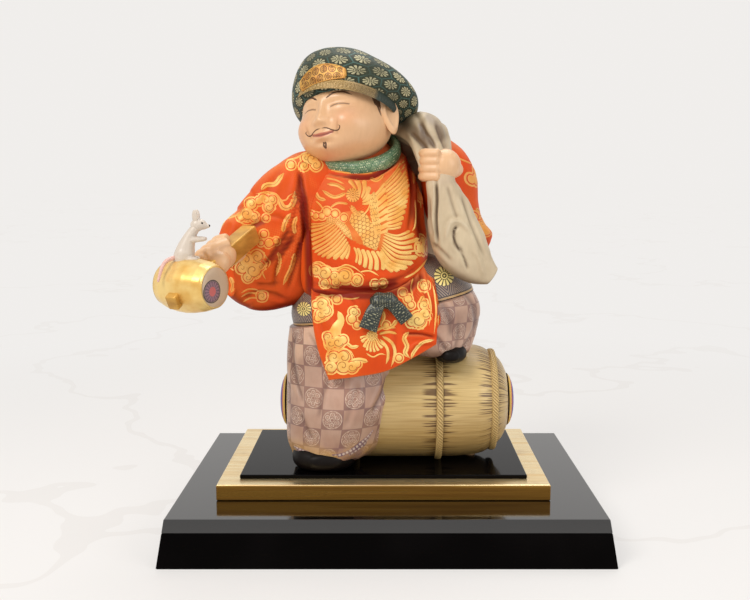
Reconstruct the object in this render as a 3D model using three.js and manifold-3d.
// Carved and painted wooden lucky-god figure on a two-step lacquered stand.
// Millimetres, +Z up. The origin is the middle of the stand's underside, and the figure faces -Y.
import * as THREE from 'three';
import { mergeVertices } from 'three/addons/utils/BufferGeometryUtils.js';
import Module from 'manifold-3d';

const wasm = await Module();
wasm.setup();

// Driving dimensions

const SEAM = 0.3; // gap between two carved pieces that meet
const LAID = 0.1; // gap under a piece that rests on another
const PEG_FIT = 0.25; // radial room round a peg or screw
const HANDLE_FIT = 0.4; // room round the mallet's handle in the fist
const SMALL_CHIP = 60; // cubic millimetres, below which a cut-off chip of a band is dropped
const ROPE_SEAT = 0.12; // how far a straw band lies off the straw
const BALE_SIDES = 24;
const SLIVER = 0.15; // hollows and edges smaller than this are closed in the fist

const plinth = {
  footWidth: 303, footDepth: 222, topWidth: 293, topDepth: 212, height: 32, board: 9, wall: 13,
  battenWidth: 34,
};
const step = { width: 231.5, depth: 148, height: 11.3, shiftX: -2.5, shiftY: 4.5, chamfer: 0.6 };
const panel = { width: 202.5, depth: 121, height: 2.9, chamfer: 0.4 };
// The two screws stand this far in from the step's ends.
const screw = { sunk: 0.4, radius: 2, headRadius: 4.2, headHeight: 3.4, point: 2, bite: 7, inset: 40 };

// The bale lies along X. Its shoulder is how far in from the widest and how far back from the end.
const bale = {
  x: 7.5, y: -4, radius: 42.6, halfLength: 81, endRadius: 19.5, endSunk: 3, endBulge: 4.5,
  outerBand: 10.7, innerBand: 50.8, bandHalf: 2.4, bandHigh: 1.9, bandFlat: 1,
  shoulder: [[21, 0], [15.4, 2.6], [9, 7.6], [5.3, 13.4], [3.2, 17.8], [2, 22], [0.3, 37], [0, 50]],
};
const perch = 2 * bale.radius; // height of the bale's top, where the left boot rests
// Two pegs hold the figure on its stand, and stand inside the bale.
const peg = { radius: 4, up: 16, down: 11, leftX: -52, leftY: 18, rightX: 55, rightY: 0 };

// Sections of the clothes and the body: x, y, height over the stand, half width, half depth
const torsoSections = [
  [-17, -8, 120, 36, 38], [-17, -10, 126, 44, 46.5], [-17, -12, 138, 47, 50], [-17, -12, 158, 46.5, 50],
  [-18, -9, 178, 45, 46], [-18, -6, 195, 43, 41], [-18, -3, 207, 39, 34], [-17, 0, 216, 34, 28],
  [-15, 4, 225, 27, 22], [-14, 7, 231, 16, 14],
];
const yokeSections = [
  [-3, -12, 96, 64, 42], [-3, -12, 110, 67, 43], [-1, -10, 124, 65.5, 42], [0, -9, 137, 56, 38],
  [-2, -8, 148, 44, 33], [-6, -7, 154, 32, 26],
];
const rightLegSections = [
  [-43, -23, 5, 24, 22], [-40, -25, 10, 29, 28], [-37, -25, 22, 36, 32], [-34, -26, 46, 38.5, 36],
  [-34, -23, 70, 38.5, 34], [-38, -20, 92, 33.5, 33], [-38, -18, 114, 31, 32], [-34, -14, 134, 28, 28],
];
// These heights are counted from the bale's top.
const leftLegSections = [
  [38, -26, -4, 16, 15], [35, -25, -1, 24, 24], [31, -24, 6, 30.5, 30], [29, -22, 19, 36.5, 34],
  [30, -20, 33, 36, 35], [27.5, -16, 49, 30.5, 32],
].map(([x, y, z, half, depth]) => [x, y, z + perch, half, depth]);
const rightSleeveSections = [
  [-36, -4, 178, 48, 26], [-48, -8, 175, 53, 27], [-61, -14, 169, 50, 25.5], [-76.5, -20, 158.5, 45.5, 22],
  [-92, -26, 150.5, 40.5, 18], [-106, -33, 147, 32.5, 13.5], [-113.5, -40, 145, 20.5, 9.5],
];
const leftSleeveSections = [
  [68, 8, 156, 7, 8], [65, 7, 161, 12, 14], [59, 6, 167, 18.5, 20], [51, 4, 176, 19.5, 23],
  [47, 3, 189, 20, 25], [46, 3, 203, 20, 25], [43, 3, 216, 19.5, 24], [38, 3, 228, 17, 20],
  [33, 3, 237, 10, 12],
];
const sackNeckSections = [
  [34, -31, 214, 11, 9], [33, -27, 222, 12, 11], [30, -13, 236, 14.5, 14], [24, 6, 241, 18.5, 14],
  [19, 28, 234, 24, 15], [16, 42, 220, 29, 17],
];
const sackBodySections = [
  [8, 46, 110, 18, 12], [8, 50, 117, 33, 21], [8, 53, 132, 45, 28], [8, 55, 159, 50, 31],
  [10, 54, 189, 47, 30], [13, 51, 210, 39, 25], [15, 47, 224, 27, 17],
];
const sackTailSections = [
  [37, -33, 212, 10, 8], [37.5, -35, 203, 10.5, 9], [40, -36, 195, 12.5, 10.5], [43.5, -37, 184, 15.5, 11.5],
  [47, -37, 171, 18, 12], [53.5, -37, 157, 18.5, 11.5], [63.5, -37, 146, 14, 8.5], [74, -37, 139, 7, 4],
];

const yokeCut = { x: -60, z: 103, slope: 11 }; // the band's lower edge rises to the raised leg
const collar = {
  place: [-20, -5, 225.5], width: 27, depth: 28.5, pitch: 24, roll: -8, high: 6, thick: 3.6,
};
const head = {
  overCollar: [-8, -5, 24.5], yaw: -30, roll: -9, pitch: -6, neckRadius: 12, neckDepth: 44,
  sections: [
    [0, -7, -33, 9, 8], [0, -7, -30, 18, 16.5], [0, -6, -23, 28, 26], [0, -3, -12, 33, 31],
    [0, -1, 0, 32.5, 31.5], [0, 0, 12, 30.5, 31], [0, 1, 24, 25, 26.5], [0, 2, 32, 16, 17], [0, 2, 35, 8, 9],
  ],
};
const hat = {
  overHead: [5, 7, 5], pitch: -26, roll: -2, bandOverHead: [0, 0.5, 7.5], bandYaw: -24, bandHalf: 37.2,
  bandBelow: 5.5, bandAbove: 1.5, bandSwell: 0.8, bandOval: 1.2,
  badgeYaw: -26, badgeThick: 1.4, badgeRise: 2.2, badgeHalf: 18.5, badgeHeight: 17.5,
  sections: [
    [1, -1, -7, 32, 31], [1, 0, -5, 37, 37], [1, 0, 0, 43.5, 42], [0, 0, 7, 45.5, 44],
    [-3.5, -1, 17, 41.5, 42], [-8.5, -2, 27, 33.5, 36], [-12, -3, 36, 24.5, 26], [-15, -4, 41, 10, 11],
  ],
};
const mallet = {
  place: [-125.5, -100, 139.5], yaw: -30, lift: 25.5, radius: 17.6, endRadius: 13.6, halfLength: 20,
  faceRim: 1, faceThick: 1.3, faceRise: 0.4,
  handleWide: 12, handleHigh: 13, handleEdge: 1.2, handleFront: 24.5, handleBack: 70,
};
// The fist grips the handle this far back from the barrel's middle, turned about the handle.
const rightFist = {
  back: 35, roll: 35, wide: 24, reach: 11.5, finger: 3.6, cuff: [-110, -40, 162], wrist: 9,
};
const leftFist = {
  place: [38, -32, 214], roll: 20, wide: 22, reach: 12, finger: 3.4, cuff: [54, -14, 204], wrist: 9.5,
};
const mouse = { offX: -5.5, offY: 1, sunk: 1.1 }; // where it sits, from the top of the barrel's middle
// Each boot's sections run from heel to toe: y, half width, half height. The left one is let into the bale.
const boots = {
  lift: 6, sections: [[13, 6, 5], [6, 9.5, 7], [-6, 11.5, 8], [-17, 10, 6.5], [-24, 6, 4]],
  right: { x: -50, y: -26, yaw: 6 }, left: { x: 46, y: -27, yaw: -4, sunk: 7 },
};
// Lines down the jacket's skirt, from its left edge to its right.
const flap = {
  thick: 4.5,
  lines: [
    [[-52, -42, 136], [-52, -52, 114], [-48, -60, 92], [-40, -64.5, 70]],
    [[-30, -57, 130], [-28, -62, 110], [-25, -66.5, 90], [-21, -68, 73]],
    [[-6, -60, 128], [-5, -64, 110], [-3, -66, 92], [-1, -66, 76.5]],
    [[18, -54, 134], [18, -60, 116], [18, -62, 100], [18, -62, 85]],
    [[31, -43, 150], [34, -54, 130], [34.5, -60.5, 111], [34, -59.5, 94]],
  ],
};
// The tails' points are counted from the knot, each with its half width.
const sash = {
  knot: [-2, -65, 125], half: [8.5, 5.5, 6], tailHalf: 1.9,
  left: [[-3, -1, -1, 4.6], [-7, -3, -8, 5.6], [-11, -4.5, -19, 6.4]],
  right: [[4, -1, -1, 4.4], [9, -2, -5, 5], [15.5, -1.5, -13, 5.2]],
};

// Shapes

const vec = (p) => new THREE.Vector3(...p);
const turn = (degrees) => THREE.MathUtils.degToRad(degrees);
const plus = (a, b) => a.map((v, i) => v + b[i]);

// A frame placed at a point and turned about X, then Y, then Z.
function frame(place, pitch = 0, roll = 0, yaw = 0) {
  const turned = new THREE.Euler(turn(pitch), turn(roll), turn(yaw), 'ZYX');
  const matrix = new THREE.Matrix4().makeRotationFromEuler(turned);
  return matrix.setPosition(vec(place));
}

// A closed mesh from rings of points, each ring joined to the next and both ends capped.
function skinned(rings) {
  const sides = rings[0].length;
  const points = rings.flat();
  const faces = [];
  for (let r = 0; r < rings.length - 1; r++) {
    for (let s = 0; s < sides; s++) {
      const a = r * sides + s;
      const b = r * sides + (s + 1) % sides;
      faces.push(a, b, b + sides, a, b + sides, a + sides);
    }
  }
  const middle = (ring) => ring.reduce((sum, p) => sum.add(p), new THREE.Vector3()).divideScalar(sides);
  const low = points.push(middle(rings[0])) - 1;
  const high = points.push(middle(rings[rings.length - 1])) - 1;
  const last = (rings.length - 1) * sides;
  for (let s = 0; s < sides; s++) {
    const next = (s + 1) % sides;
    faces.push(low, next, s, high, last + s, last + next);
  }
  return new THREE.BufferGeometry().setFromPoints(points).setIndex(faces);
}

// Key sections read as one smooth curve of centres and one of half sizes.
function sectionAt(sections, t) {
  const centres = new THREE.CatmullRomCurve3(sections.map(([x, y, z]) => vec([x, y, z])));
  const sizes = new THREE.SplineCurve(sections.map((s) => new THREE.Vector2(s[3], s[4])));
  return { centre: centres.getPoint(t), size: sizes.getPoint(t), along: centres.getTangent(t) };
}

// A round body through sections that all lie level. fold(t, angle) scales the outline.
function levelBody(sections, { rings, sides, grow = 0, square = 2, fold = () => 1 }) {
  const made = [];
  for (let r = 0; r <= rings; r++) {
    const t = r / rings;
    const { centre, size } = sectionAt(sections, t);
    const lift = r === 0 ? -grow : r === rings ? grow : 0;
    made.push(outline(sides, square).map(([c, s, angle]) => new THREE.Vector3(
      centre.x + c * (size.x * fold(t, angle) + grow),
      centre.y + s * (size.y * fold(t, angle) + grow),
      centre.z + lift,
    )));
  }
  return skinned(made);
}

// A body through sections that lie square to its own line; the half width points up the page.
function limbBody(sections, { rings, sides, grow = 0, square = 2, up = [0, 0, 1], fold = () => 1 }) {
  const made = [];
  for (let r = 0; r <= rings; r++) {
    const t = r / rings;
    const { centre, size, along } = sectionAt(sections, t);
    const side = new THREE.Vector3().crossVectors(along, vec(up)).normalize();
    const rise = new THREE.Vector3().crossVectors(side, along).normalize();
    centre.addScaledVector(along, r === 0 ? -grow : r === rings ? grow : 0);
    made.push(outline(sides, square).map(([c, s, angle]) => centre.clone()
      .addScaledVector(rise, c * (size.x * fold(t, angle) + grow))
      .addScaledVector(side, s * (size.y * fold(t, angle) + grow))));
  }
  return skinned(made);
}

// Points of a unit outline: 2 is an ellipse, and more is squarer.
function outline(sides, square) {
  return Array.from({ length: sides }, (_, i) => {
    const angle = (i / sides) * Math.PI * 2;
    const shape = (v) => Math.sign(v) * Math.abs(v) ** (2 / square);
    return [shape(Math.cos(angle)), shape(Math.sin(angle)), angle];
  });
}

// A block between four bottom corners and the four above them, both anticlockwise from above.
function block(bottom, top) {
  return skinned([bottom.map(vec), top.map(vec)]);
}

function box(width, depth, height, x = 0, y = 0, z = 0) {
  return new THREE.BoxGeometry(width, depth, height).translate(x, y, z + height / 2);
}

// A board with its upper and lower edges chamfered, its underside at z.
function board({ width, depth, height, chamfer, shiftX = 0, shiftY = 0 }, z) {
  const shape = new THREE.Shape([
    new THREE.Vector2(-width / 2 + chamfer, -depth / 2 + chamfer),
    new THREE.Vector2(width / 2 - chamfer, -depth / 2 + chamfer),
    new THREE.Vector2(width / 2 - chamfer, depth / 2 - chamfer),
    new THREE.Vector2(-width / 2 + chamfer, depth / 2 - chamfer),
  ]);
  const bevel = { bevelThickness: chamfer, bevelSize: chamfer, bevelSegments: 1 };
  return new THREE.ExtrudeGeometry(shape, { depth: height - 2 * chamfer, ...bevel })
    .translate(shiftX, shiftY, z + chamfer);
}

// A solid of revolution about Z from [radius, height] pairs that rise.
function turned(profile, sides) {
  return new THREE.LatheGeometry(profile.map(([r, z]) => new THREE.Vector2(r, z)), sides)
    .rotateX(Math.PI / 2);
}

function ball(rx, ry, rz, place = [0, 0, 0], wide = 12, high = 8) {
  return new THREE.SphereGeometry(1, wide, high).rotateX(Math.PI / 2).scale(rx, ry, rz).translate(...place);
}

// A round rod between two points, with its two radii.
function rod(from, to, r0, r1, sides = 8) {
  const a = vec(from);
  const b = vec(to);
  const along = b.clone().sub(a);
  const turnTo = new THREE.Quaternion().setFromUnitVectors(vec([0, 1, 0]), along.clone().normalize());
  return new THREE.CylinderGeometry(r1, r0, along.length(), sides)
    .applyQuaternion(turnTo).translate(...a.add(b).multiplyScalar(0.5).toArray());
}

// Solids: joining and cutting

function solid(geometry, place = null) {
  const bare = geometry.index ? geometry.toNonIndexed() : geometry.clone();
  bare.deleteAttribute('normal');
  bare.deleteAttribute('uv');
  if (place) bare.applyMatrix4(place);
  const merged = mergeVertices(bare, 1e-4);
  return new wasm.Manifold(new wasm.Mesh({
    numProp: 3,
    vertProperties: merged.attributes.position.array,
    triVerts: new Uint32Array(merged.index.array),
  }));
}

const joined = (parts) => parts.reduce((sum, part) => sum.add(part));
const cut = (form, rooms) => rooms.reduce((left, room) => left.subtract(room), form);

// The largest body that a cut leaves, without the chips.
function whole(form) {
  const parts = form.decompose();
  return parts.reduce((best, part) => (part.volume() > best.volume() ? part : best));
}

function geometryOf(form) {
  const mesh = form.getMesh();
  const geometry = new THREE.BufferGeometry();
  geometry.setAttribute('position', new THREE.BufferAttribute(mesh.vertProperties, 3));
  geometry.setIndex(new THREE.BufferAttribute(mesh.triVerts, 1));
  geometry.computeVertexNormals();
  return geometry;
}

// Materials

function material(color, roughness, metalness = 0) {
  return new THREE.MeshStandardMaterial({ color, roughness, metalness });
}

const paint = {
  lacquer: material(0x0b0a0a, 0.08),
  rawWood: material(0xb89468, 0.7),
  steel: material(0x8d8f92, 0.35, 1),
  goldLeaf: material(0xd9a84e, 0.3, 1),
  straw: material(0xcfae74, 0.55),
  rope: material(0xc4a45e, 0.6),
  paintedEnd: material(0xc98f3e, 0.45),
  trousers: material(0xb48f82, 0.5),
  yoke: material(0x5a4f5e, 0.5),
  boot: material(0x1a1517, 0.45),
  jacket: material(0xe0562a, 0.45),
  sash: material(0x27352f, 0.5),
  collar: material(0x5d8a6a, 0.5),
  skin: material(0xeec193, 0.5),
  hat: material(0x26443f, 0.5),
  sack: material(0xcdbda6, 0.6),
  drumskin: material(0xc9b59b, 0.6),
  mouse: material(0xe9e1da, 0.55),
};

const root = new THREE.Group();
root.name = 'daikoku_statue';

// The figure is carved in its own frame, whose zero height is the stand's surface.
const figure = new THREE.Group();

function add(name, form, finish, group = figure) {
  const mesh = new THREE.Mesh(form.isBufferGeometry ? form : geometryOf(form), finish);
  mesh.name = name;
  group.add(mesh);
  return mesh;
}

// Stand

const deck = plinth.height + step.height + panel.height; // the surface that the figure stands on
figure.position.z = deck;
const stepBase = plinth.height;
const panelBase = plinth.height + step.height;
const boardBase = plinth.height - plinth.board;
const pegPlaces = {
  bale_peg_left: [bale.x + peg.leftX, bale.y + peg.leftY],
  bale_peg_right: [bale.x + peg.rightX, bale.y + peg.rightY],
};

// Half width and half depth of the sloping plinth at a height.
function plinthHalf(z) {
  const share = z / plinth.height;
  return [
    THREE.MathUtils.lerp(plinth.footWidth, plinth.topWidth, share) / 2,
    THREE.MathUtils.lerp(plinth.footDepth, plinth.topDepth, share) / 2,
  ];
}

// A round bar standing at a point, between two heights.
function upright(radius, low, high, [x, y]) {
  return solid(turned([[0, low], [radius, low], [radius, high], [0, high]], 16).translate(x, y, 0));
}

function pegRooms(low, high) {
  return Object.values(pegPlaces).map((at) => upright(peg.radius + PEG_FIT, low, high, at));
}

function screwForm(grow) {
  const neck = screw.headHeight + grow;
  const tip = stepBase + screw.bite + grow;
  return solid(turned([
    [0, -grow], [screw.headRadius + grow, -grow], [screw.radius + grow, neck],
    [screw.radius + grow, tip - screw.point], [screw.radius / 3 + grow, tip], [0, tip],
  ], 14));
}

function makeStand() {
  const reach = step.width / 2 - screw.inset;
  const screwPlaces = {
    stand_screw_left: [step.shiftX - reach, 0],
    stand_screw_right: [step.shiftX + reach, 0],
  };
  const screwRooms = Object.values(screwPlaces).map(([x, y]) => screwForm(PEG_FIT)
    .translate([x, y, screw.sunk]).add(upright(screw.headRadius + PEG_FIT, -1, screw.sunk, [x, y])));

  const [w0, d0] = plinthHalf(boardBase);
  const [w1, d1] = plinthHalf(plinth.height);
  const rectangle = (w, d, z) => [[-w, -d, z], [w, -d, z], [w, d, z], [-w, d, z]];
  const topBoard = solid(block(rectangle(w0, d0, boardBase), rectangle(w1, d1, plinth.height)));
  add('plinth_top_board', cut(topBoard, screwRooms), paint.lacquer, root);

  // Each skirt runs between two mitred corners, a seam's width short of its neighbours.
  const [foot, shoulder] = [plinthHalf(0), plinthHalf(boardBase)];
  const wall = plinth.wall;
  const trim = SEAM / 2;
  const along = ([x, y], level) => [
    [-x + trim, -y, level], [x - trim, -y, level],
    [x - wall - trim, -y + wall, level], [-x + wall + trim, -y + wall, level],
  ];
  const across = ([x, y], level) => [
    [x, -y + trim, level], [x, y - trim, level],
    [x - wall, y - wall - trim, level], [x - wall, -y + wall + trim, level],
  ];
  const turnedRound = (corners) => corners.map(([x, y, z]) => [-x, -y, z]);
  const lowered = (corners) => corners.map(([x, y, z]) => [x, y, z - LAID]);
  const front = [along(foot, 0), lowered(along(shoulder, boardBase))];
  const side = [across(foot, 0), lowered(across(shoulder, boardBase))];
  add('plinth_front_skirt', block(...front), paint.lacquer, root);
  add('plinth_back_skirt', block(...front.map(turnedRound)), paint.lacquer, root);
  add('plinth_right_skirt', block(...side), paint.lacquer, root);
  add('plinth_left_skirt', block(...side.map(turnedRound)), paint.lacquer, root);

  const battenLength = 2 * (Math.min(foot[0], shoulder[0]) - wall - SEAM);
  const batten = solid(box(battenLength, plinth.battenWidth, boardBase - LAID));
  add('plinth_centre_batten', cut(batten, screwRooms), paint.rawWood, root);
  Object.entries(screwPlaces).forEach(([name, [x, y]]) => {
    add(name, screwForm(0).translate([x, y, screw.sunk]), paint.steel, root);
  });

  const boardRooms = pegRooms(deck - peg.down - 1, deck + 1);
  const stepForm = solid(board(step, stepBase));
  add('gold_step_board', cut(stepForm, [...screwRooms, ...boardRooms]), paint.goldLeaf, root);
  const panelForm = solid(board({ ...panel, shiftX: step.shiftX, shiftY: step.shiftY }, panelBase));
  add('black_panel', cut(panelForm, boardRooms), paint.lacquer, root);
}

// Clothes and body, each as its form and as the room that its neighbours leave for it

function torsoForm(grow = 0) {
  return solid(levelBody(torsoSections, { rings: 10, sides: 22, grow, square: 2.35 }));
}

function yokeForm(grow = 0) {
  return solid(levelBody(yokeSections, { rings: 5, sides: 22, grow, square: 2.3 }));
}

function rightLegForm(grow = 0) {
  const fold = (t, angle) => 1 + 0.025 * Math.cos(5 * angle + 1) * Math.sin(Math.PI * t);
  return solid(levelBody(rightLegSections, { rings: 9, sides: 20, grow, fold }));
}

function leftLegForm(grow = 0) {
  return solid(levelBody(leftLegSections, { rings: 6, sides: 20, grow }));
}

// The sleeve hangs in folds that deepen towards its lower edge.
function rightSleeveForm(grow = 0) {
  const fold = (t, angle) => 1 + 0.05 * Math.sin(Math.PI * t) * Math.cos(6 * angle + 4 * t);
  return solid(limbBody(rightSleeveSections, { rings: 8, sides: 20, grow, fold, square: 2.2 }));
}

function leftSleeveForm(grow = 0) {
  const fold = (t, angle) => 1 + 0.03 * Math.cos(4 * angle + 1);
  return solid(levelBody(leftSleeveSections, { rings: 9, sides: 16, grow, fold }));
}

// Everything above the sloping line where the hip band stops and the trousers begin.
function aboveYokeEdge(gap) {
  const reach = 200;
  const edge = frame([yokeCut.x, 0, yokeCut.z + gap], 0, -yokeCut.slope, 0);
  return solid(box(2 * reach, 2 * reach, reach), edge);
}

function bootForm(base, { x, y, yaw, sunk = 0 }, grow = 0) {
  const at = boots.sections.map(([along, half, high]) => [0, along, boots.lift, high, half]);
  const place = frame([x, y, base - sunk], 0, 0, yaw);
  return solid(limbBody(at, { rings: 6, sides: 12, grow, square: 2.4 }), place);
}

const headPlace = plus(collar.place, head.overCollar);
const headFrame = frame(headPlace, head.pitch, head.roll, head.yaw);
const hatFrame = frame(plus(headPlace, hat.overHead), hat.pitch, hat.roll, 0);
const bandFrame = frame(plus(headPlace, hat.bandOverHead), hat.pitch, 0, hat.bandYaw);

// Full cheeks either side of the face; the face looks along -Y of the head's own frame.
function cheeks(t, angle) {
  const off = Math.abs(angle - 1.5 * Math.PI) - 0.62;
  return 1 + 0.08 * Math.exp(-((off / 0.36) ** 2)) * Math.exp(-(((t - 0.32) / 0.15) ** 2));
}

// The plug below the head, which stands in a bore in the jacket.
function neckPlugForm(grow = 0) {
  const radius = head.neckRadius + grow;
  const foot = plus(headPlace, [8, 6, -head.neckDepth - grow]);
  return solid(rod(foot, plus(headPlace, [4, 2, -11]), radius, radius, 12));
}

function earForms(grow = 0) {
  return [-1, 1].flatMap((side) => [
    solid(ball(3.6 + grow, 7 + grow, 10.5 + grow, [side * 32.5, 3, 1], 8, 6), headFrame),
    solid(ball(4 + grow, 4.6 + grow, 8 + grow, [side * 33, 1, -11], 8, 6), headFrame),
  ]);
}

// The plain room that the hat, collar and jacket leave for the head: coarse, and a little larger.
function headRoomForm() {
  const skull = solid(levelBody(head.sections, { rings: 9, sides: 12, grow: 1.6, fold: cheeks }), headFrame);
  return joined([skull, neckPlugForm(2 * SEAM), ...earForms(SEAM)]);
}

// The skull with its ears and nose, and the plug that holds it in the jacket.
function headCarving(grow = 0) {
  const skull = solid(levelBody(head.sections, { rings: 9, sides: 18, grow, fold: cheeks }), headFrame);
  const nose = solid(ball(5 + grow, 4.6 + grow, 6.5 + grow, [0, -30.5, -3], 8, 6), headFrame);
  return joined([skull, nose, neckPlugForm(grow), ...earForms(grow)]);
}

function hatForm(grow = 0) {
  return solid(levelBody(hat.sections, { rings: 9, sides: 22, grow, square: 2.15 }), hatFrame);
}

// A band round the head where the hat's rim grips it.
function hatBandForm(grow = 0) {
  const rim = hat.bandHalf + grow;
  const belly = rim + hat.bandSwell;
  const [low, high] = [-hat.bandBelow - grow, hat.bandAbove + grow];
  const sections = [
    [0, 0, low, rim, rim - hat.bandOval],
    [0, 0, (low + high) / 2, belly, belly - hat.bandOval],
    [0, 0, high, rim, rim - hat.bandOval],
  ];
  return solid(levelBody(sections, { rings: 2, sides: 22 }), bandFrame);
}

// The gilt plate on the front of the hat: its outline cut from a skin over the crown.
function hatBadgeForm() {
  const [half, high] = [hat.badgeHalf, hat.badgeHeight];
  const plate = new THREE.Shape();
  plate.moveTo(1.5 - half, 0);
  plate.lineTo(half - 1.5, 0);
  plate.lineTo(half, 0.4 * high);
  plate.quadraticCurveTo(0.65 * half, high, 0, high);
  plate.quadraticCurveTo(-0.65 * half, high, -half, 0.4 * high);
  plate.closePath();
  const reach = 60;
  const cutter = new THREE.ExtrudeGeometry(plate, { depth: reach, bevelEnabled: false, curveSegments: 5 })
    .rotateX(Math.PI / 2).translate(0, 0, hat.badgeRise).rotateZ(turn(hat.badgeYaw));
  const skin = hatForm(SEAM + hat.badgeThick).subtract(hatForm(SEAM));
  return skin.intersect(solid(cutter, hatFrame));
}

const collarFrame = frame(collar.place, collar.pitch, collar.roll, 0);

function collarForm(grow = 0) {
  const around = 22;
  const rings = Array.from({ length: 6 }, (_, i) => {
    const a = (i / 6) * Math.PI * 2;
    return [Math.cos(a) * (collar.thick + grow), Math.sin(a) * (collar.high + grow)];
  });
  const points = [];
  const faces = [];
  for (let i = 0; i < around; i++) {
    const a = (i / around) * Math.PI * 2;
    rings.forEach(([out, up]) => points.push(new THREE.Vector3(
      Math.cos(a) * (collar.width + out), Math.sin(a) * (collar.depth + out), up,
    )));
    rings.forEach((_, k) => {
      const [a0, a1] = [i * 6 + k, i * 6 + (k + 1) % 6];
      const [b0, b1] = [((i + 1) % around) * 6 + k, ((i + 1) % around) * 6 + (k + 1) % 6];
      faces.push(a0, b0, b1, a0, b1, a1);
    });
  }
  return solid(new THREE.BufferGeometry().setFromPoints(points).setIndex(faces), collarFrame);
}

// The jacket's skirt in front: a curved panel between hand-set edges, thick enough to carve.
function flapForm() {
  const rows = 5;
  const columns = 9;
  const lines = flap.lines.map((line) => new THREE.CatmullRomCurve3(line.map(vec)));
  const sheet = (back) => Array.from({ length: rows + 1 }, (_, r) => {
    const across = new THREE.CatmullRomCurve3(lines.map((line) => line.getPoint(r / rows)));
    return Array.from({ length: columns + 1 }, (_, c) => {
      const p = across.getPoint(c / columns);
      p.y += back;
      return p;
    });
  });
  const [front, rear] = [sheet(0), sheet(flap.thick)];
  const loops = front.map((line, r) => [...line, ...[...rear[r]].reverse()]);
  return solid(skinned(loops.reverse()));
}

function sashKnotForm(grow = 0) {
  return solid(ball(...sash.half.map((half) => half + grow), sash.knot, 10, 6));
}

function sashTailForm(points) {
  const sections = points.map(([x, y, z, half]) => [...plus(sash.knot, [x, y, z]), half, sash.tailHalf]);
  return solid(limbBody(sections, { rings: 3, sides: 8, square: 4, up: [1, 0, 0.4] }));
}

// Four fingers curled round a grip, the back of the hand and the thumb, in the grip's own frame:
// the grip runs along Y, and the knuckles are at -X.
function fist(grow, { wide, reach, finger }) {
  const parts = [solid(ball(reach * 0.95 + grow, wide * 0.56 + grow, reach * 0.9 + grow, [2, 0, 2], 10, 6))];
  for (let i = 0; i < 4; i++) {
    const y = (i - 1.5) * wide * 0.26;
    const curl = [[2 / reach, -1], [-0.75, -0.85], [-1.02, 0], [-0.5, 0.7]]
      .map(([x, z]) => [x * reach, y, z * reach, finger, finger]);
    parts.push(solid(limbBody(curl, { rings: 3, sides: 6, grow, up: [0, 1, 0] })));
  }
  return joined(parts);
}

const malletFrame = frame(mallet.place, mallet.lift, 0, mallet.yaw);

function handleForm(grow = 0) {
  const bar = board({
    width: mallet.handleWide + 2 * grow,
    depth: mallet.handleHigh + 2 * grow,
    height: mallet.handleFront + mallet.handleBack + 2 * grow,
    chamfer: mallet.handleEdge,
  }, -mallet.handleBack - grow);
  return solid(bar.rotateX(Math.PI / 2), malletFrame);
}

// The wrist runs from the back of the fist into the cuff, and the thumb lies along the handle's top.
function rightHandForm(grow = 0) {
  const onHandle = (x, y, z) => vec([x, rightFist.back + y, z]).applyMatrix4(malletFrame).toArray();
  const place = malletFrame.clone().multiply(frame([0, rightFist.back, 0], 0, rightFist.roll, 0));
  const hand = fist(grow, rightFist).transform(place.toArray());
  const radius = rightFist.wrist + grow;
  const wrist = solid(rod(onHandle(-1.6, 1.7, -1.4), rightFist.cuff, radius, radius, 10));
  const thumb = [[2, 5.8, 7.7, 4.6], [-0.5, -4.1, 9.1, 4.2], [-4.1, -13.8, 7.1, 3.2]]
    .map(([x, y, z, half]) => [...onHandle(x, y, z), half, half]);
  return joined([hand, wrist, solid(limbBody(thumb, { rings: 3, sides: 6, grow }))]);
}

function leftHandForm(grow = 0) {
  const place = frame(leftFist.place, 90, 0, 0).multiply(frame([0, 0, 0], 0, leftFist.roll, 0));
  const hand = fist(grow, leftFist).transform(place.toArray());
  const radius = leftFist.wrist + grow;
  return joined([hand, solid(rod(plus(leftFist.place, [2, 4, 0]), leftFist.cuff, radius, radius, 10))]);
}

function sackNeckForm(grow = 0) {
  return solid(limbBody(sackNeckSections, { rings: 6, sides: 12, grow, up: [1, 0, 0] }));
}

function sackBodyForm(grow = 0) {
  return solid(levelBody(sackBodySections, { rings: 7, sides: 16, grow }));
}

function sackTailForm(grow = 0) {
  const fold = (t, angle) => 1 + 0.06 * Math.sin(Math.PI * t) * Math.cos(5 * angle + 2 * t);
  return solid(limbBody(sackTailSections, { rings: 9, sides: 14, grow, fold, square: 2.3, up: [1, 0, 0.7] }));
}

const baleShoulder = bale.shoulder.map(([inset, back]) => [bale.radius - inset, bale.halfLength - back]);

// Radius of the bale at a distance from its middle.
function baleRadius(x) {
  const far = Math.abs(x);
  const points = [[0, bale.halfLength], ...baleShoulder];
  const i = points.findIndex(([, at], k) => k > 0 && at <= far);
  if (i < 0) return bale.radius;
  const [[r0, x0], [r1, x1]] = [points[i - 1], points[i]];
  return r0 + ((r1 - r0) * (far - x0)) / (x1 - x0);
}

const baleFrame = new THREE.Matrix4().makeTranslation(bale.x, bale.y, bale.radius)
  .multiply(new THREE.Matrix4().makeRotationY(Math.PI / 2));

// A straw band that hugs the bale, its facets in line with the bale's own.
function ropeForm(at) {
  const [low, high] = [at - bale.bandHalf, at + bale.bandHalf];
  const crown = baleRadius(at) + bale.bandHigh;
  const edge = bale.bandHigh * 0.55;
  return solid(turned([
    [baleRadius(low) + ROPE_SEAT, low], [baleRadius(low) + edge, low],
    [crown, at - bale.bandFlat], [crown, at + bale.bandFlat],
    [baleRadius(high) + edge, high], [baleRadius(high) + ROPE_SEAT, high],
    [baleRadius(low) + ROPE_SEAT, low],
  ], BALE_SIDES), baleFrame);
}

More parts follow.
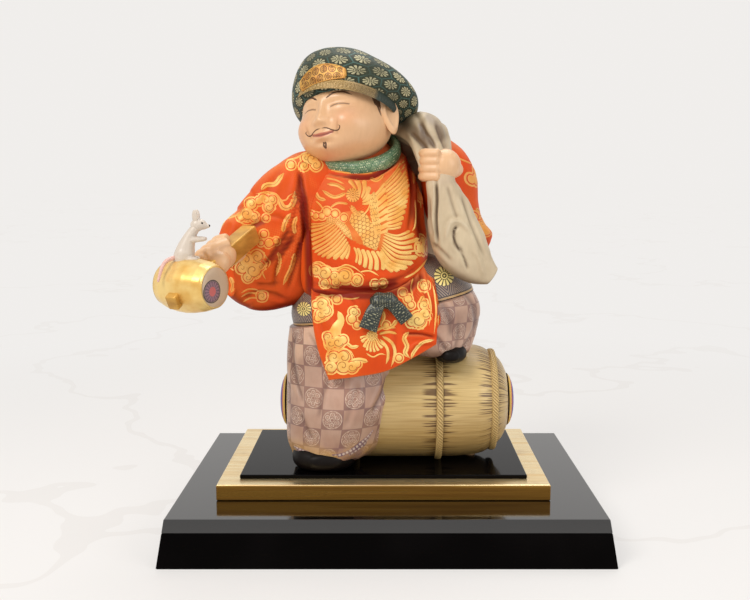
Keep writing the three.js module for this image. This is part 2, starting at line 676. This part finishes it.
function makeBale(rooms) {
  const profile = [[0, -bale.halfLength], ...baleShoulder.map(([r, x]) => [r, -x]),
    ...[...baleShoulder].reverse(), [0, bale.halfLength]];
  const floor = floorRoom();
  const straw = solid(turned(profile, BALE_SIDES), baleFrame);
  const seat = bale.halfLength - bale.endSunk;
  const room = bale.endRadius + SEAM;
  const recess = [[0, seat], [room, seat], [room, seat + 10], [0, seat + 10]];
  const atEnd = (form, side) => solid(turned(form, 20).scale(1, side, side), baleFrame);
  const strawRooms = [floor, ...rooms, ...pegRooms(-1, peg.up + 1), atEnd(recess, 1), atEnd(recess, -1)];
  add('bale_straw_body', whole(cut(straw, strawRooms)), paint.straw);

  const outer = bale.halfLength - bale.outerBand;
  const inner = bale.halfLength - bale.innerBand;
  [-outer, -inner, inner, outer].forEach((at, i) => {
    const arcs = cut(ropeForm(at), [floor, ...rooms]).decompose()
      .filter((arc) => arc.volume() > SMALL_CHIP)
      .sort((a, b) => a.boundingBox().min[1] - b.boundingBox().min[1]);
    const ends = arcs.length > 1 ? ['_front', '_back'] : [''];
    ends.forEach((end, k) => add(`bale_rope_${i + 1}${end}`, whole(arcs[k]), paint.rope));
  });

  const rim = bale.halfLength + 0.25 * bale.endBulge;
  const cap = [
    [0, seat + SEAM], [bale.endRadius, seat + SEAM], [bale.endRadius, rim],
    [0.81 * bale.endRadius, bale.halfLength + 0.73 * bale.endBulge],
    [0.43 * bale.endRadius, bale.halfLength + 0.95 * bale.endBulge], [0, bale.halfLength + bale.endBulge],
  ];
  add('bale_end_right', whole(cut(atEnd(cap, 1), rooms)), paint.paintedEnd);
  add('bale_end_left', whole(cut(atEnd(cap, -1), rooms)), paint.paintedEnd);
  Object.entries(pegPlaces).forEach(([name, at]) => {
    add(name, upright(peg.radius, -peg.down, peg.up, at), paint.rawWood);
  });
}

// Half of the barrel's outline, from its round end to its widest, as [radius, distance from the middle].
function barrelProfile(grow) {
  const swell = mallet.radius - mallet.endRadius;
  const half = [[1, 1], [0.45, 0.7], [0.1, 0.3], [0, 0]]
    .map(([inset, far]) => [mallet.radius - inset * swell + grow, far * mallet.halfLength]);
  const low = half.map(([r, x]) => [r, -x]);
  const high = half.slice(0, -1).reverse();
  return [[0, -mallet.halfLength], ...low, ...high, [0, mallet.halfLength]];
}

// The mallet is drawn out towards the viewer, so its way out of the fist and cuff stays clear.
function makeMallet() {
  const across = malletFrame.clone().multiply(new THREE.Matrix4().makeRotationY(Math.PI / 2));
  const barrel = cut(solid(turned(barrelProfile(0), 22), across), [handleForm(SEAM)]);
  add('mallet_barrel', barrel, paint.goldLeaf);
  const faceRadius = mallet.endRadius - mallet.faceRim;
  const base = mallet.halfLength + SEAM;
  const top = base + mallet.faceThick;
  const face = [[0, base], [faceRadius, base], [faceRadius, top - mallet.faceRise], [0, top]];
  add('mallet_face_right', solid(turned(face, 20), across), paint.drumskin);
  add('mallet_face_left', solid(turned(face, 20).scale(1, -1, -1), across), paint.drumskin);
  add('mallet_handle', handleForm(), paint.goldLeaf);
  return solid(turned(barrelProfile(SEAM), 22), across);
}

// A mouse sitting up on the barrel, nose to the right, tail over the near side.
function makeMouse(barrelRoom) {
  const place = frame(plus(mallet.place, [mouse.offX, mouse.offY, mallet.radius - mouse.sunk]));
  const trunk = [
    [0, 0, -2, 7, 6], [0, 0, 2, 8.2, 7], [1, 0, 8, 6.8, 6.2], [3.5, 0, 14, 5, 4.8], [5.5, 0, 19, 3.6, 3.5],
  ];
  const trunkForm = (grow) => solid(levelBody(trunk, { rings: 5, sides: 12, grow }), place);
  const paw = (y) => solid(rod([5, y, 12], [12.5, y * 0.8, 11.5], 1.9, 1.5, 6), place);
  const foot = (y) => solid(ball(5, 2.4, 1.8, [6, y, 0.6], 6, 4), place);
  const body = joined([trunkForm(0), paw(2.8), paw(-2.8), foot(4), foot(-4)]);
  add('mouse_body', whole(cut(body, [barrelRoom])), paint.mouse);
  const muzzle = [
    [2.5, 0, 22, 2.4, 2.4], [5.5, 0, 22.5, 4.6, 4.4], [9.5, 0, 22, 3.9, 3.6], [13.5, 0, 20.5, 1.8, 1.8],
    [15, 0, 20, 0.8, 0.8],
  ];
  const skull = solid(limbBody(muzzle, { rings: 5, sides: 10 }), place);
  const ear = (y) => solid(ball(1.1, 2.3, 3.4, [5.5, y, 27], 6, 4), place);
  const bodyRoom = trunkForm(SEAM);
  add('mouse_head', whole(cut(joined([skull, ear(2.6), ear(-2.6)]), [bodyRoom])), paint.mouse);
  const tail = [[-6, -4, 2, 1.4], [-11, -10, 1, 1.25], [-14, -16, -4, 1.1], [-16, -19, -12, 0.95]]
    .map(([x, y, z, half]) => [x, y, z, half, half]);
  const tailForm = solid(limbBody(tail, { rings: 7, sides: 8 }), place);
  add('mouse_tail', whole(cut(tailForm, [barrelRoom, bodyRoom])), paint.mouse);
}

// The stand's surface, with all below it, as the room that the figure leaves.
function floorRoom() {
  const reach = 400;
  return solid(box(reach, reach, reach, 0, 0, LAID - reach));
}

function makeFigure() {
  const floor = floorRoom();
  const headRoom = headRoomForm();
  const earRoom = headCarving(SEAM);
  const bandRoom = hatBandForm(SEAM);
  const collarRoom = collarForm(SEAM);
  const opening = collar.width - collar.thick + 1;
  const neckRoom = solid(turned([[0, -2], [opening, -2], [opening, 30], [0, 30]], 18), collarFrame);
  const torsoRoom = torsoForm(SEAM);
  const hipRoom = aboveYokeEdge(-SEAM);
  const yokeTop = yokeForm(SEAM).intersect(hipRoom);
  const rightLegRoom = rightLegForm(SEAM).subtract(hipRoom);
  const leftLegRoom = leftLegForm(SEAM).subtract(hipRoom);
  const handRoomRight = rightHandForm(SEAM);
  const handRoomLeft = leftHandForm(SEAM);
  const sleeveRoomRight = rightSleeveForm(SEAM);
  const sleeveRoomLeft = leftSleeveForm(SEAM);
  const hatRoom = hatForm(SEAM);
  const handleRoom = handleForm(HANDLE_FIT);
  const rightBootRoom = bootForm(0, boots.right, SEAM);
  const leftBootRoom = bootForm(perch, boots.left, SEAM);

  add('head', headCarving(), paint.skin);
  add('hat_crown', whole(cut(hatForm(), [headRoom, bandRoom])), paint.hat);
  add('hat_band', whole(cut(hatBandForm(), [earRoom])), paint.goldLeaf);
  add('hat_badge', whole(cut(hatBadgeForm(), [bandRoom])), paint.goldLeaf);
  const collarRooms = [headRoom, torsoRoom.subtract(neckRoom), hatRoom, bandRoom];
  add('inner_collar', whole(cut(collarForm(), collarRooms)), paint.collar);
  add('jacket_body', whole(cut(torsoForm(), [neckRoom, headRoom])), paint.jacket);

  add('right_hand', whole(cut(rightHandForm(), [handleRoom]).simplify(SLIVER)), paint.skin);
  const sleeveRooms = [torsoRoom, handRoomRight, handleRoom, collarRoom, headRoom];
  add('right_sleeve', whole(cut(rightSleeveForm(), sleeveRooms)), paint.jacket);
  add('left_hand', whole(cut(leftHandForm(), [torsoRoom])), paint.skin);
  add('left_sleeve', whole(cut(leftSleeveForm(), [torsoRoom, handRoomLeft])), paint.jacket);

  const upperBody = [torsoRoom, handRoomLeft, sleeveRoomLeft, collarRoom, headRoom, hatRoom, bandRoom];
  add('sack_shoulder', whole(cut(sackNeckForm(), upperBody)), paint.sack);
  const sackBodyRooms = [torsoRoom, sleeveRoomLeft, sleeveRoomRight, yokeTop, sackNeckForm(SEAM), hatRoom];
  add('sack_body', whole(cut(sackBodyForm(), sackBodyRooms)), paint.sack);

  const hips = yokeForm().intersect(aboveYokeEdge(0));
  add('hip_band', whole(cut(hips, [torsoRoom, sleeveRoomRight, sleeveRoomLeft])), paint.yoke);
  const rightLeg = cut(rightLegForm(), [hipRoom, torsoRoom, rightBootRoom, floor]);
  add('right_trouser_leg', whole(rightLeg), paint.trousers);
  const leftLeg = cut(leftLegForm(), [hipRoom, torsoRoom, rightLegRoom, leftBootRoom]);
  add('left_trouser_leg', whole(leftLeg), paint.trousers);
  add('right_boot', whole(cut(bootForm(0, boots.right), [floor])), paint.boot);
  add('left_boot', bootForm(perch, boots.left), paint.boot);

  const flapCut = cut(flapForm(), [torsoRoom, yokeTop, rightLegRoom, leftLegRoom, sleeveRoomRight]);
  add('jacket_skirt', whole(flapCut), paint.jacket);
  const flapRoom = solid(geometryOf(flapForm()).translate(0, -SEAM, 0)).add(flapForm());
  add('sash_knot', whole(cut(sashKnotForm(), [torsoRoom, flapRoom])), paint.sash);
  const sashRooms = [torsoRoom, flapRoom, sashKnotForm(SEAM)];
  add('sash_tail_left', whole(cut(sashTailForm(sash.left), sashRooms)), paint.sash);
  add('sash_tail_right', whole(cut(sashTailForm(sash.right), sashRooms)), paint.sash);
  const tailRooms = [
    handRoomLeft, torsoRoom, sleeveRoomLeft, yokeTop, leftLegRoom, flapRoom, sackNeckForm(SEAM),
  ];
  add('sack_tail', whole(cut(sackTailForm(), tailRooms)), paint.sack);

  makeBale([rightLegRoom, leftLegRoom, rightBootRoom, leftBootRoom, sackBodyForm(SEAM)]);
}

makeStand();
makeFigure();
makeMouse(makeMallet());
root.add(figure);

export default root;
